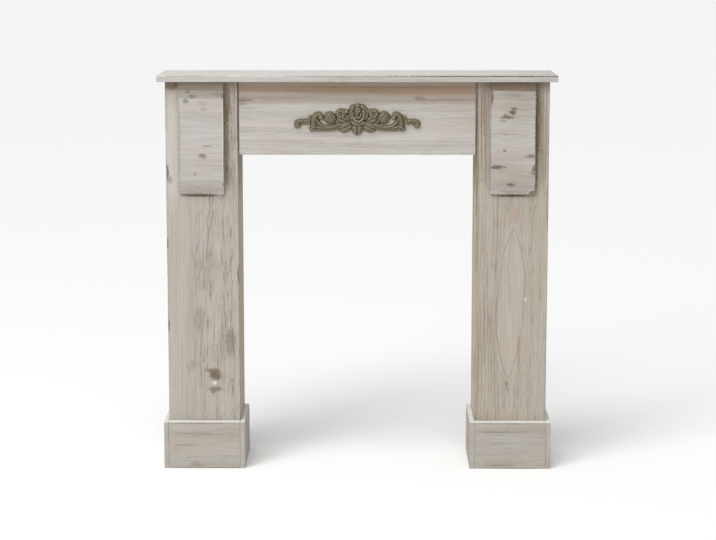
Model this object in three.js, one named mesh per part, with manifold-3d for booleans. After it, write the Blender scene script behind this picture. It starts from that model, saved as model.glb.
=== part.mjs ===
// Fireplace mantelpiece: a whitewashed paulownia surround with a cast rose ornament.
// Millimetres, +Z up. X runs along the shelf, the front faces -Y and the back edges of the
// boards meet the wall at +Y. The origin is on the floor, in the middle of the shelf's outline.

import * as THREE from 'three';
import { mergeVertices } from 'three/addons/utils/BufferGeometryUtils.js';
import Module from 'manifold-3d';

const wasm = await Module();
wasm.setup();

// The surround as a whole
const OVERALL_HEIGHT = 1008;
const HEARTH_WIDTH = 600;
const HEARTH_HEIGHT = 807;
const JOINT_GAP = 0.3;
const EDGE_EASE = 1;

// Shelf
const SHELF_DEPTH = 195;
const SHELF_THICKNESS = 16;
const SHELF_END_OVERHANG = 18;
const SHELF_FRONT_OVERHANG = 24;

// Pilasters: a front board with two side boards behind it, open at the back
const PILASTER_WIDTH = 182;
const PILASTER_FRONT_THICKNESS = 14;
const PILASTER_SIDE_THICKNESS = 12;

// Frieze board between the pilasters
const FRIEZE_THICKNESS = 12;
const FRIEZE_SETBACK = 5;
const FRIEZE_END_GAP = 2.5;

// Plinths: three boards around each pilaster's foot, the sides covering the front's ends
const PLINTH_HEIGHT = 122;
const PLINTH_FRONT_THICKNESS = 18;
const PLINTH_SIDE_THICKNESS = 12;

// Corbels: blocks with an ogee face, their grain lying level
const CORBEL_WIDTH = 112;
const CORBEL_HEIGHT = 285;
const CORBEL_HEAD_THICKNESS = 13;
const CORBEL_BELLY_THICKNESS = 22;
const CORBEL_BELLY_DROP = 200;
const CORBEL_TOE_THICKNESS = 7;
const CORBEL_HEAD_DROP = 90;
const CORBEL_CURVE_STEPS = 10;

// Rose ornament: its carving is laid out in shares of its half length
const ORNAMENT_LENGTH = 320;
const ORNAMENT_RELIEF = 15;
const ORNAMENT_DROP = 2.5;

// Planes and centre lines that the pieces share
const shelfUnderside = OVERALL_HEIGHT - SHELF_THICKNESS;
const shelfFrontY = -SHELF_DEPTH / 2;
const wallY = SHELF_DEPTH / 2;
const pilasterFaceY = shelfFrontY + SHELF_FRONT_OVERHANG;
const pilasterInnerX = HEARTH_WIDTH / 2;
const pilasterOuterX = pilasterInnerX + PILASTER_WIDTH;
const pilasterMiddleX = pilasterInnerX + PILASTER_WIDTH / 2;
const friezeFaceY = pilasterFaceY + FRIEZE_SETBACK;
const plinthFaceY = pilasterFaceY - JOINT_GAP - PLINTH_FRONT_THICKNESS;

// Whitewashed wood, a little different from board to board
function washedWood(colour) {
  return new THREE.MeshStandardMaterial({ color: colour, roughness: 0.85, metalness: 0 });
}

const shelfWood = washedWood('#cfcac1');
const friezeWood = washedWood('#c9c3ba');
const pilasterWood = washedWood('#c0b8aa');
const plinthWood = washedWood('#bfb7aa');
const corbelWood = washedWood('#cbc5bc');
const agedBronzeResin = new THREE.MeshStandardMaterial({ color: '#786f57', roughness: 0.6, metalness: 0.1 });

// A board between two corners, with every edge eased by the same small chamfer
function board(name, low, high, material) {
  const size = new THREE.Vector3().subVectors(high, low);
  const halfX = size.x / 2 - EDGE_EASE;
  const halfY = size.y / 2 - EDGE_EASE;
  const outline = new THREE.Shape();
  outline.moveTo(halfX, -halfY + EDGE_EASE);
  outline.lineTo(halfX, halfY - EDGE_EASE);
  outline.lineTo(halfX - EDGE_EASE, halfY);
  outline.lineTo(-halfX + EDGE_EASE, halfY);
  outline.lineTo(-halfX, halfY - EDGE_EASE);
  outline.lineTo(-halfX, -halfY + EDGE_EASE);
  outline.lineTo(-halfX + EDGE_EASE, -halfY);
  outline.lineTo(halfX - EDGE_EASE, -halfY);
  outline.closePath();
  const geometry = new THREE.ExtrudeGeometry(outline, {
    depth: size.z - 2 * EDGE_EASE,
    bevelEnabled: true,
    bevelSize: EDGE_EASE,
    bevelThickness: EDGE_EASE,
    bevelSegments: 1,
  });
  geometry.translate(0, 0, EDGE_EASE - size.z / 2);
  const mesh = new THREE.Mesh(geometry, material);
  mesh.name = name;
  mesh.position.addVectors(low, high).multiplyScalar(0.5);
  return mesh;
}

// A board of one leg, given on the right-hand leg and mirrored for the left-hand one
function legBoard(name, side, low, high, material) {
  if (side > 0) {
    return board(`${name}_right`, low, high, material);
  }
  const mirroredLow = new THREE.Vector3(-high.x, low.y, low.z);
  const mirroredHigh = new THREE.Vector3(-low.x, high.y, high.z);
  return board(`${name}_left`, mirroredLow, mirroredHigh, material);
}

// Mantel shelf: one board that overhangs the pilasters at the front and the ends
function shelf() {
  const halfWidth = pilasterOuterX + SHELF_END_OVERHANG;
  const low = new THREE.Vector3(-halfWidth, shelfFrontY, shelfUnderside);
  const high = new THREE.Vector3(halfWidth, wallY, OVERALL_HEIGHT);
  return board('shelf', low, high, shelfWood);
}

// Frieze: a level board that closes the front between the pilasters, above the hearth
function friezeBoard() {
  const halfWidth = pilasterInnerX - FRIEZE_END_GAP;
  const low = new THREE.Vector3(-halfWidth, friezeFaceY, HEARTH_HEIGHT);
  const high = new THREE.Vector3(halfWidth, friezeFaceY + FRIEZE_THICKNESS, shelfUnderside - JOINT_GAP);
  return board('frieze_board', low, high, friezeWood);
}

// Pilaster: the front board covers the edges of the two side boards
function pilaster(side) {
  const top = shelfUnderside - JOINT_GAP;
  const frontBackY = pilasterFaceY + PILASTER_FRONT_THICKNESS;
  const sideFrontY = frontBackY + JOINT_GAP;
  const group = new THREE.Group();
  group.add(legBoard('pilaster_front', side,
    new THREE.Vector3(pilasterInnerX, pilasterFaceY, 0),
    new THREE.Vector3(pilasterOuterX, frontBackY, top), pilasterWood));
  group.add(legBoard('pilaster_outer_side', side,
    new THREE.Vector3(pilasterOuterX - PILASTER_SIDE_THICKNESS, sideFrontY, 0),
    new THREE.Vector3(pilasterOuterX, wallY, top), pilasterWood));
  group.add(legBoard('pilaster_inner_side', side,
    new THREE.Vector3(pilasterInnerX, sideFrontY, 0),
    new THREE.Vector3(pilasterInnerX + PILASTER_SIDE_THICKNESS, wallY, top), pilasterWood));
  return group;
}

// Plinth: a front board between two side boards that run back to the wall
function plinth(side) {
  const outerBoardX = pilasterOuterX + JOINT_GAP;
  const innerBoardX = pilasterInnerX - JOINT_GAP;
  const group = new THREE.Group();
  group.add(legBoard('plinth_front', side,
    new THREE.Vector3(innerBoardX + JOINT_GAP, plinthFaceY, 0),
    new THREE.Vector3(outerBoardX - JOINT_GAP, plinthFaceY + PLINTH_FRONT_THICKNESS, PLINTH_HEIGHT),
    plinthWood));
  group.add(legBoard('plinth_outer_side', side,
    new THREE.Vector3(outerBoardX, plinthFaceY, 0),
    new THREE.Vector3(outerBoardX + PLINTH_SIDE_THICKNESS, wallY, PLINTH_HEIGHT), plinthWood));
  group.add(legBoard('plinth_inner_side', side,
    new THREE.Vector3(innerBoardX - PLINTH_SIDE_THICKNESS, plinthFaceY, 0),
    new THREE.Vector3(innerBoardX, wallY, PLINTH_HEIGHT), plinthWood));
  return group;
}

// Corbel profile, seen from the side: thin head, swelling belly, and a toe rolled back to the board
function corbelProfile() {
  const profile = new THREE.Shape();
  const bend = (CORBEL_BELLY_DROP - CORBEL_HEAD_DROP) / 2;
  const rollStart = (CORBEL_HEIGHT - CORBEL_BELLY_DROP) / 2;
  profile.moveTo(0, -CORBEL_HEIGHT);
  profile.lineTo(CORBEL_TOE_THICKNESS, -CORBEL_HEIGHT);
  profile.bezierCurveTo(
    (CORBEL_TOE_THICKNESS + CORBEL_BELLY_THICKNESS) / 2, -CORBEL_HEIGHT + rollStart / 2,
    CORBEL_BELLY_THICKNESS, -CORBEL_BELLY_DROP - rollStart,
    CORBEL_BELLY_THICKNESS, -CORBEL_BELLY_DROP);
  profile.bezierCurveTo(
    CORBEL_BELLY_THICKNESS, -CORBEL_BELLY_DROP + bend,
    CORBEL_HEAD_THICKNESS, -CORBEL_HEAD_DROP - bend,
    CORBEL_HEAD_THICKNESS, -CORBEL_HEAD_DROP);
  profile.lineTo(CORBEL_HEAD_THICKNESS, 0);
  profile.lineTo(0, 0);
  profile.closePath();
  return profile;
}

// Corbel: the profile drawn out along X, standing against the pilaster under the shelf
function corbel(side) {
  const geometry = new THREE.ExtrudeGeometry(corbelProfile(), {
    depth: CORBEL_WIDTH,
    curveSegments: CORBEL_CURVE_STEPS,
    bevelEnabled: false,
  });
  geometry.applyMatrix4(new THREE.Matrix4().makeBasis(
    new THREE.Vector3(0, -1, 0), new THREE.Vector3(0, 0, 1), new THREE.Vector3(-1, 0, 0)));
  geometry.translate(CORBEL_WIDTH / 2, 0, 0);
  const mesh = new THREE.Mesh(geometry, corbelWood);
  mesh.name = side > 0 ? 'corbel_right' : 'corbel_left';
  mesh.position.set(side * pilasterMiddleX, pilasterFaceY - JOINT_GAP, shelfUnderside - JOINT_GAP);
  return mesh;
}

// A closed geometry as a solid that can be joined and cut
function solidOf(geometry) {
  geometry.deleteAttribute('normal');
  geometry.deleteAttribute('uv');
  const weldDistance = 1e-4;
  const merged = mergeVertices(geometry, weldDistance);
  return new wasm.Manifold(new wasm.Mesh({
    numProp: 3,
    vertProperties: new Float32Array(merged.attributes.position.array),
    triVerts: new Uint32Array(merged.index.array),
  }));
}

// A solid back as a geometry
function geometryOf(solid) {
  const mesh = solid.getMesh();
  const geometry = new THREE.BufferGeometry();
  geometry.setAttribute('position', new THREE.BufferAttribute(mesh.vertProperties, mesh.numProp));
  geometry.setIndex(new THREE.BufferAttribute(mesh.triVerts, 1));
  return geometry;
}

// The ornament is drawn flat: x along it, y up, z out of the board. Its places are in units of
// one two-hundredth of its length, and the heights in shares of the full relief.
const unit = ORNAMENT_LENGTH / 200;

// Domed lump: a petal, a flower's eye or the round end of a scroll
function lump(x, y, radiusX, radiusY, height, turn = 0) {
  const aroundSteps = 10;
  const upSteps = 6;
  const geometry = new THREE.SphereGeometry(1, aroundSteps, upSteps);
  geometry.scale(radiusX * unit, radiusY * unit, height * ORNAMENT_RELIEF);
  geometry.rotateZ(turn);
  geometry.translate(x * unit, y * unit, 0);
  return solidOf(geometry);
}

// Scrolled stem: a tapering round rod bent along a smooth curve through a few places
function stem(places, startRadius, endRadius, height) {
  const sides = 8;
  const stepsPerSpan = 3;
  const steps = stepsPerSpan * (places.length - 1);
  const curve = new THREE.CatmullRomCurve3(places.map(([x, y]) => new THREE.Vector3(x * unit, y * unit, 0)));
  const geometry = new THREE.CylinderGeometry(1, 1, 1, sides, steps);
  const position = geometry.attributes.position;
  for (let i = 0; i < position.count; i += 1) {
    const along = position.getY(i) + 0.5;
    const point = curve.getPoint(along);
    const tangent = curve.getTangent(along);
    const radius = THREE.MathUtils.lerp(startRadius, endRadius, along) * unit;
    const across = position.getX(i) * radius;
    const out = position.getZ(i) * height * ORNAMENT_RELIEF;
    position.setXYZ(i, point.x + tangent.y * across, point.y - tangent.x * across, out);
  }
  return solidOf(geometry);
}

// Leaf: a blade that narrows to its point, with a lobed edge and a groove down its middle
function leaf(x, y, angle, length, width, height, lobes, point = 0.4) {
  const lobeDepth = 0.08;
  const grooveFloor = 0.66;
  const grooveSlope = 2.2;
  const aroundSteps = 12;
  const alongSteps = 10;
  const geometry = new THREE.SphereGeometry(1, aroundSteps, alongSteps);
  const position = geometry.attributes.position;
  for (let i = 0; i < position.count; i += 1) {
    const side = position.getX(i);
    const share = (position.getY(i) + 1) / 2;
    const taper = 1 - point * share ** 3;
    const lobe = 1 + lobeDepth * Math.sin(share * lobes * 2 * Math.PI);
    const groove = THREE.MathUtils.lerp(grooveFloor, 1, Math.min(1, Math.abs(side) * grooveSlope));
    const across = side * taper * lobe * width / 2 * unit;
    const out = position.getZ(i) * groove * height * ORNAMENT_RELIEF;
    position.setXYZ(i, across, share * length * unit, out);
  }
  geometry.rotateZ(angle - Math.PI / 2);
  geometry.translate(x * unit, y * unit, 0);
  return solidOf(geometry);
}

// Small flower: five round petals about a raised eye
function smallFlower(x, y, radius, height, turn) {
  const petals = 5;
  const eyeShare = 0.34;
  const reachShare = 0.54;
  const petalLength = 0.5;
  const petalWidth = 0.49;
  const petalHeight = 0.85;
  const solids = [lump(x, y, radius * eyeShare, radius * eyeShare, height)];
  for (let i = 0; i < petals; i += 1) {
    const angle = turn + i * 2 * Math.PI / petals;
    const petalX = x + radius * reachShare * Math.cos(angle);
    const petalY = y + radius * reachShare * Math.sin(angle);
    solids.push(lump(petalX, petalY, radius * petalLength, radius * petalWidth, height * petalHeight, angle));
  }
  return solids;
}

// Rose seen a little from above: back petals, a cup, and the rolled lips of the petals round it
function rose(centreX, centreY) {
  const petals = [
    { x: 0, y: 0, radiusX: 13.6, radiusY: 15.4, height: 0.56, turn: 0 },
    { x: -9, y: 10.6, radiusX: 6.4, radiusY: 5, height: 0.6, turn: 0.9 },
    { x: -1.4, y: 13, radiusX: 6.6, radiusY: 4.6, height: 0.6, turn: 0.1 },
    { x: 7, y: 11.2, radiusX: 6.2, radiusY: 5.2, height: 0.6, turn: -0.8 },
    { x: -11.4, y: 2, radiusX: 4.2, radiusY: 8.6, height: 0.6, turn: 0.1 },
    { x: 12, y: 1.6, radiusX: 4.4, radiusY: 9, height: 0.6, turn: -0.1 },
    { x: 0.6, y: 5, radiusX: 7.4, radiusY: 10, height: 0.84, turn: 0 },
  ];
  const lips = [
    { radius: 2.4, height: 0.72, places: [[-11, -7.4], [-5.6, -12.2], [1, -13.6], [7, -12.4], [11.4, -8]] },
    { radius: 2.2, height: 0.86, places: [[-8, 3], [-5.4, -4.6], [1.6, -8], [7.6, -4.6], [8.6, 4]] },
    { radius: 1.8, height: 1, places: [[-4.4, 6], [-3, -0.6], [3, -1.6], [5, 5]] },
  ];
  return [
    ...petals.map((petal) => lump(
      centreX + petal.x, centreY + petal.y, petal.radiusX, petal.radiusY, petal.height, petal.turn)),
    ...lips.map((lip) => stem(
      lip.places.map(([x, y]) => [centreX + x, centreY + y]), lip.radius, lip.radius, lip.height)),
  ];
}

// One arm of the ornament, on the right for side 1: twin stems that run out to a curled scroll,
// with spurs and a foot on it, and a hook beyond
function arm(side) {
  const path = (places) => places.map(([x, y]) => [side * x, y]);
  return [
    stem(path([[20, -9], [32, -14.4], [45, -16.4], [58, -16.2], [70, -15.6]]), 2.7, 3, 0.46),
    stem(path([[22, -7], [34, -11.8], [46, -13.6], [58, -13], [68, -10.6]]), 2.4, 3.3, 0.54),
    stem(path([[27, -6.4], [38, -10.8], [46.5, -11.8], [54.5, -9.6], [60.4, -5], [65, 1.5]]), 1.7, 4.2, 0.64),
    lump(side * 67, -8, 6.4, 7, 0.54),
    stem(path([[71, -16], [71, -6], [68.5, 3], [62, 7], [57, 4.4]]), 6, 4.4, 0.72),
    lump(side * 58.6, 2.8, 5.2, 5, 0.78),
    lump(side * 71.5, -16, 5.4, 3.9, 0.66),
    stem(path([[71, 0], [75, 5]]), 3.2, 2.4, 0.5),
    lump(side * 75.2, 5.2, 2.6, 2.4, 0.5),
    stem(path([[70, -5], [80, -4], [89, -4.2], [94.4, -8]]), 4.6, 5, 0.56),
    lump(side * 93.6, -9.2, 5.9, 5.6, 0.66),
  ];
}

// Bud, flower and leaves between the rose and one arm
function foliage(side) {
  const outward = (angle) => (side > 0 ? angle : Math.PI - angle);
  return [
    leaf(side * 36.4, -5.6, outward(Math.PI * 0.32), 20.4, 20, 0.8, 2),
    leaf(side * 13, -4, outward(Math.PI * 0.12), 22, 15, 0.62, 2),
    ...smallFlower(side * 25.6, 8.8, 8.4, 0.74, Math.PI / 2 + side * 0.3),
    lump(side * 17.4, 12.2, 4.8, 4.6, 0.62),
    lump(side * 31, -6, 5, 4, 0.4),
    leaf(side * 8, -6.5, outward(-Math.PI * 0.15), 24.5, 18, 0.68, 3, 0.2),
  ];
}

// The whole cast ornament, cut flat at the back where it lies on the frieze
function roseSwag() {
  const solids = [
    ...arm(-1),
    ...arm(1),
    ...foliage(-1),
    ...foliage(1),
    leaf(0, -3.5, -Math.PI / 2, 22, 20, 0.72, 3, 0.2),
    ...rose(1.6, 7.6),
  ];
  const whole = solids.reduce((sum, solid) => sum.add(solid));
  const front = new THREE.BoxGeometry(2 * ORNAMENT_LENGTH, ORNAMENT_LENGTH, 2 * ORNAMENT_RELIEF);
  front.translate(0, 0, ORNAMENT_RELIEF);
  const mesh = new THREE.Mesh(geometryOf(whole.intersect(solidOf(front))), agedBronzeResin);
  mesh.name = 'rose_swag';
  mesh.rotation.x = Math.PI / 2;
  mesh.position.set(0, friezeFaceY - JOINT_GAP, (HEARTH_HEIGHT + shelfUnderside) / 2 - ORNAMENT_DROP);
  return mesh;
}

const mantelpiece = new THREE.Group();
mantelpiece.add(shelf());
mantelpiece.add(friezeBoard());
for (const side of [-1, 1]) {
  mantelpiece.add(pilaster(side));
  mantelpiece.add(plinth(side));
  mantelpiece.add(corbel(side));
}
mantelpiece.add(roseSwag());

export default mantelpiece;
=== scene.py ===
# Fireplace mantelpiece of whitewashed paulownia with a cast rose ornament.
# The pieces are dressed in the order they are put together: the two legs, the frieze board,
# the corbels, the shelf and the ornament. Then come the studio floor, lights and camera.
import math

import bmesh
import bpy
from mathutils import Matrix, Vector, noise


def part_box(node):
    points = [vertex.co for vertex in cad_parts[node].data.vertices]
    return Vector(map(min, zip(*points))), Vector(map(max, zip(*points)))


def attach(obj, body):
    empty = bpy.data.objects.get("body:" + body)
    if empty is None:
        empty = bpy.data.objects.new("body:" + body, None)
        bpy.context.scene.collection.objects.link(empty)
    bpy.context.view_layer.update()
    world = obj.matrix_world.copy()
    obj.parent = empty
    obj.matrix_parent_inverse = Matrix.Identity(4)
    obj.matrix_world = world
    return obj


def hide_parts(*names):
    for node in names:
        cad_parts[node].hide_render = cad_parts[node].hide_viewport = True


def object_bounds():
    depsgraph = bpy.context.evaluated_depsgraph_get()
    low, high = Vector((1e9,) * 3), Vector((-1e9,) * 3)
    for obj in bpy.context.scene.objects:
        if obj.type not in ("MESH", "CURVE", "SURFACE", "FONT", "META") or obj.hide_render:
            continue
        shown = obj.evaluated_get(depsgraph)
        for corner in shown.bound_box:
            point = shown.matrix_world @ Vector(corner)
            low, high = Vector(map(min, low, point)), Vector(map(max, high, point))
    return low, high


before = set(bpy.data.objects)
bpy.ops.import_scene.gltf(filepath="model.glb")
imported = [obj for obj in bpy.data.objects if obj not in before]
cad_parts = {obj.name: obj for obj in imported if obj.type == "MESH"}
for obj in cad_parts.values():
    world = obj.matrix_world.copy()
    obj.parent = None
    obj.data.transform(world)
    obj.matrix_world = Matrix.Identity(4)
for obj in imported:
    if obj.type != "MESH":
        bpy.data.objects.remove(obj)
cad_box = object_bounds()

MM = 0.001

# Legs. Each is a wide front board glued over two side boards, sawn from pale paulownia, brushed
# so that the soft wood stands back, then whitewashed and rubbed along the arrises by hand.
ARRIS_RADIUS = 1.2 * MM
TIGHT_ARRIS_RADIUS = 0.25 * MM
ARRIS_STEPS = 3
SLICE_LENGTH = 8 * MM
WEAR_DEPTH = 0.45 * MM
BROAD_HOLLOWS = 21
FINE_HOLLOWS = 90
FINE_SHARE = 0.6


def worn_inward(point, low, high, seed, dents):
    """Where rubbing and knocks have moved a point near an arris: in toward the board's middle."""
    near = 3 * ARRIS_RADIUS
    close = [min(point[axis] - low[axis], high[axis] - point[axis]) < near for axis in range(3)]
    if sum(close) < 2:
        return point
    hollows = noise.noise(point * BROAD_HOLLOWS + Vector((seed, 0, 0)))
    hollows += FINE_SHARE * noise.noise(point * FINE_HOLLOWS + Vector((0, seed, 0)))
    depth = WEAR_DEPTH * max(0.0, hollows)
    for place, length, dent in dents:
        share = (point - Vector(place) * MM).length / (length * MM)
        depth += dent * MM * max(0.0, 1 - share * share) ** 2
    moved = point.copy()
    for axis in range(3):
        if close[axis]:
            toward = 1 if point[axis] - low[axis] < high[axis] - point[axis] else -1
            moved[axis] += toward * depth
    return moved


def finish_mesh(bm, name):
    """A bmesh as a named object that rides on the mantelpiece."""
    bmesh.ops.remove_doubles(bm, verts=bm.verts, dist=1e-6)
    bmesh.ops.recalc_face_normals(bm, faces=bm.faces)
    mesh = bpy.data.meshes.new(name)
    bm.to_mesh(mesh)
    bm.free()
    piece = bpy.data.objects.new(name, mesh)
    bpy.context.scene.collection.objects.link(piece)
    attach(piece, "root")
    return piece


def worn_board(node, material, seed, dents=(), arris=ARRIS_RADIUS):
    """The board that a CAD node stands for, with rounded arrises worn unevenly by rubbing."""
    low, high = (Vector(corner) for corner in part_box(node))
    size = high - low
    along = max(range(3), key=lambda axis: size[axis])
    bm = bmesh.new()
    bmesh.ops.create_cube(bm, size=1)
    bmesh.ops.scale(bm, vec=size, verts=bm.verts)
    bmesh.ops.translate(bm, vec=(low + high) / 2, verts=bm.verts)
    lengthwise = [edge for edge in bm.edges
                  if abs(edge.verts[0].co[along] - edge.verts[1].co[along]) > size[along] / 2]
    cuts = max(1, round(size[along] / SLICE_LENGTH))
    bmesh.ops.subdivide_edges(bm, edges=lengthwise, cuts=cuts, use_grid_fill=True)
    arrises = [edge for edge in bm.edges if edge.calc_face_angle(0) > 1]
    bmesh.ops.bevel(bm, geom=arrises, offset=arris, segments=ARRIS_STEPS, profile=0.5,
                    affect="EDGES", material=-1)
    for vert in bm.verts:
        vert.co = worn_inward(vert.co, low, high, seed, dents)
    piece = finish_mesh(bm, node + "_board")
    piece.data.materials.append(material)
    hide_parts(node)
    return piece


def linear(hex_colour):
    """An sRGB hex colour as the linear values that the shaders take."""
    channels = [int(hex_colour[i:i + 2], 16) / 255 for i in (1, 3, 5)]
    return tuple(c / 12.92 if c <= 0.04045 else ((c + 0.055) / 1.055) ** 2.4 for c in channels) + (1,)


def add(tree, kind, inputs=(), stops=(), **settings):
    """A shader node with its settings. An input takes a value, a socket or another node's first
    output; stops are a ramp's places and greys or colours."""
    made = tree.nodes.new("ShaderNode" + kind)
    for name, value in settings.items():
        setattr(made, name, value)
    for number, (place, level) in enumerate(stops):
        elements = made.color_ramp.elements
        element = elements[number] if number < len(elements) else elements.new(1)
        element.position = place
        element.color = level if isinstance(level, tuple) else (level, level, level, 1)
    for key, value in dict(inputs).items():
        socket = made.inputs[key] if isinstance(key, int) else next(
            s for s in made.inputs if s.enabled and s.name == key)
        if isinstance(value, bpy.types.Node):
            value = next(s for s in value.outputs if s.enabled)
        if isinstance(value, bpy.types.NodeSocket):
            tree.links.new(value, socket)
        else:
            socket.default_value = value
    return made


FACE_MARK_DEPTH = 30

# Which of X, Y and Z runs across a board, along its grain and out of its face
UPRIGHT = "XZY"
UPRIGHT_SIDE = "YZX"
LEVEL = "ZXY"
LEVEL_SIDE = "ZYX"
FLAT = "YXZ"


def washed_paulownia(name, node, grain, seed, wash, warm, vein, rings=0.3, ring_width=9.0, rings_from=None,
                     pores=0.5, pores_from=None, pore_colour="#6f6556", figure=None, wear=0.5, marks=(),
                     shelf_shade_and_stain=0.6, shelf_shade_and_stain_reach=14.0, shelf_shade_and_stain_start=1.0, shelf_shade_and_stain_end=0.53,
                     shelf_shade_and_stain_colour="#8f7e68"):
    """Paulownia, brushed and whitewashed. The wash lies thick on the soft wood and thin on the
    veins, so the eye sees pale boards with grey-brown lines, short open pores and rubbed arrises."""
    material = bpy.data.materials.new(name)
    material.use_nodes = True
    tree = material.node_tree
    tree.nodes.clear()
    low, high = (Vector(corner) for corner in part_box(node))
    middle = (low + high) / 2
    numbers = ["XYZ".index(letter) for letter in grain]
    half = [(high - low)[number] / 2 / MM for number in numbers]

    # The board's own axes in millimetres from its middle: across, along the grain, and out
    place = add(tree, "TexCoord").outputs["Object"]
    split = add(tree, "SeparateXYZ", {0: place})
    across, along, out = (
        add(tree, "Math", {0: split.outputs[n], 1: 1 / MM, 2: -middle[n] / MM}, operation="MULTIPLY_ADD")
        for n in numbers)
    own = add(tree, "CombineXYZ", {0: across, 1: along, 2: out})
    apart = add(tree, "VectorMath", {0: own, 1: (seed * 311.0, seed * 173.0, seed * 97.0)})

    # Uneven patterns, each with its width across and length along the grain in millimetres
    pattern = {}
    for key, wide, long, detail, rough in (
            ("bend", 60, 420, 3.0, 0.45), ("fade", 38, 260, 2.0, 0.5), ("hue", 34, 150, 3.0, 0.55),
            ("broad", 17, 430, 4.0, 0.6), ("fibre", 2.6, 130, 4.0, 0.6), ("pore", 2.6, 36, 3.0, 0.6),
            ("fine", 0.8, 12, 2.0, 0.5), ("ragged", 3.6, 8, 4.0, 0.6), ("rub", 12, 30, 5.0, 0.65)):
        stretched = add(tree, "VectorMath", {0: apart, 1: (1 / wide, 1 / long, 1 / wide)},
                        operation="MULTIPLY")
        pattern[key] = add(tree, "TexNoise", {"Vector": stretched, "Scale": 1.0, "Detail": detail,
                                              "Roughness": rough})

    # Growth rings sawn near the quarter: long lines that drift and fade
    bend = add(tree, "Math", {0: pattern["bend"], 1: 40.0, 2: across}, operation="MULTIPLY_ADD")
    turns = add(tree, "Math", {0: bend, 1: ring_width}, operation="DIVIDE")
    phase = add(tree, "Math", {0: turns}, operation="FRACT")
    lines = add(tree, "ValToRGB", {0: phase}, stops=(
        (0.0, 0.6), (0.1, 0.2), (0.4, 0.0), (0.7, 0.15), (0.92, 1.0), (1.0, 0.6)))
    fade = add(tree, "ValToRGB", {0: pattern["fade"]}, stops=((0.38, 0.15), (0.62, 1.0)))
    ring = add(tree, "Math", {0: lines, 1: fade}, operation="MULTIPLY")
    if rings_from:
        begins = add(tree, "MapRange", {0: across, 1: rings_from[0], 2: rings_from[1], 3: 0.35, 4: 1.0})
        ring = add(tree, "Math", {0: ring, 1: begins}, operation="MULTIPLY")

    # Pores: short open scratches, crowded into some bands and missing from others. Real ones are
    # a third of a millimetre wide, too fine to show at this size, so they are drawn coarser.
    crowd = add(tree, "ValToRGB", {0: pattern["broad"]}, stops=((0.40, 0.35), (0.60, 1.0)))
    pore = add(tree, "ValToRGB", {0: pattern["pore"]}, stops=((0.52, 0.0), (0.62, 1.0)))
    pore = add(tree, "Math", {0: pore, 1: crowd}, operation="MULTIPLY")
    if pores_from:
        begins = add(tree, "MapRange", {0: across, 1: pores_from[0], 2: pores_from[1], 3: 0.12, 4: 1.0})
        pore = add(tree, "Math", {0: pore, 1: begins}, operation="MULTIPLY")

    colour = add(tree, "ValToRGB", {0: pattern["hue"]}, stops=((0.36, linear(wash)), (0.66, linear(warm))))
    if figure:
        # A tangential patch of the board, where one ring comes to the surface as a long drop. The
        # powers give it full sides and pointed tips, and its sway follows the growth of the tree.
        across_0, along_0, half_wide, half_long, lean, sway = figure
        side_power, tip_power, whole_power = 1.5, 2.1, 0.55
        leaned = add(tree, "Math", {0: along, 1: -lean, 2: across}, operation="MULTIPLY_ADD")
        swayed = add(tree, "Math", {0: pattern["fade"], 1: sway, 2: leaned}, operation="MULTIPLY_ADD")
        parts = []
        for value, centre, reach, power in (
                (swayed, across_0 + sway / 2, half_wide, side_power), (along, along_0, half_long, tip_power)):
            from_centre = add(tree, "Math", {0: value, 1: centre}, operation="SUBTRACT")
            share = add(tree, "Math", {0: from_centre, 1: reach}, operation="DIVIDE")
            size = add(tree, "Math", {0: share}, operation="ABSOLUTE")
            parts.append(add(tree, "Math", {0: size, 1: power}, operation="POWER"))
        both = add(tree, "Math", {0: parts[0], 1: parts[1]})
        drop = add(tree, "Math", {0: both, 1: whole_power}, operation="POWER")
        drop = add(tree, "Math", {0: pattern["rub"], 1: 0.06, 2: drop}, operation="MULTIPLY_ADD")
        outside = add(tree, "MapRange", {0: drop, 1: 1.02, 2: 1.2, 3: 0.0, 4: 1.0})
        ring = add(tree, "Math", {0: ring, 1: outside}, operation="MULTIPLY")
        calm = add(tree, "MapRange", {0: drop, 1: 0.9, 2: 1.3, 3: 0.45, 4: 1.0})
        pore = add(tree, "Math", {0: pore, 1: calm}, operation="MULTIPLY")
        # The ring's own line, and a fainter second one round it, both as thin at the tips as beside
        for line, half_line, level in ((1.0, 0.05, 0.9), (1.17, 0.05, 0.4)):
            off_line = add(tree, "Math", {0: drop, 1: line}, operation="SUBTRACT")
            off_line = add(tree, "Math", {0: off_line}, operation="ABSOLUTE")
            thin = add(tree, "Math", {0: parts[1], 1: -0.75 * half_line, 2: half_line},
                       operation="MULTIPLY_ADD")
            thin = add(tree, "Math", {0: thin, 1: 0.2 * half_line}, operation="MAXIMUM")
            rim = add(tree, "MapRange", {0: off_line, 1: 0.0, 2: thin, 3: level, 4: 0.0})
            ring = add(tree, "Math", {0: ring, 1: rim}, operation="MAXIMUM")
        within = add(tree, "MapRange", {0: drop, 1: 0.8, 2: 1.0, 3: 0.14, 4: 0.0})
        colour = add(tree, "Mix", {"Factor": within, "A": colour, "B": linear("#c2b8b0")}, data_type="RGBA")

    fibre = add(tree, "ValToRGB", {0: pattern["fibre"]}, stops=((0.42, 0.0), (0.74, 1.0)))
    fine = add(tree, "ValToRGB", {0: pattern["fine"]}, stops=((0.56, 0.0), (0.72, 1.0)))
    broad = add(tree, "ValToRGB", {0: pattern["broad"]}, stops=((0.45, 0.0), (0.75, 1.0)))
    for layer, strength, tint in ((broad, 0.25, vein), (ring, rings, vein), (fibre, 0.34, vein),
                                  (pore, pores, pore_colour), (fine, 0.22, vein)):
        depth = add(tree, "Math", {0: layer, 1: strength}, operation="MULTIPLY")
        colour = add(tree, "Mix", {"Factor": depth, "A": colour, "B": linear(tint)}, data_type="RGBA")
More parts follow.
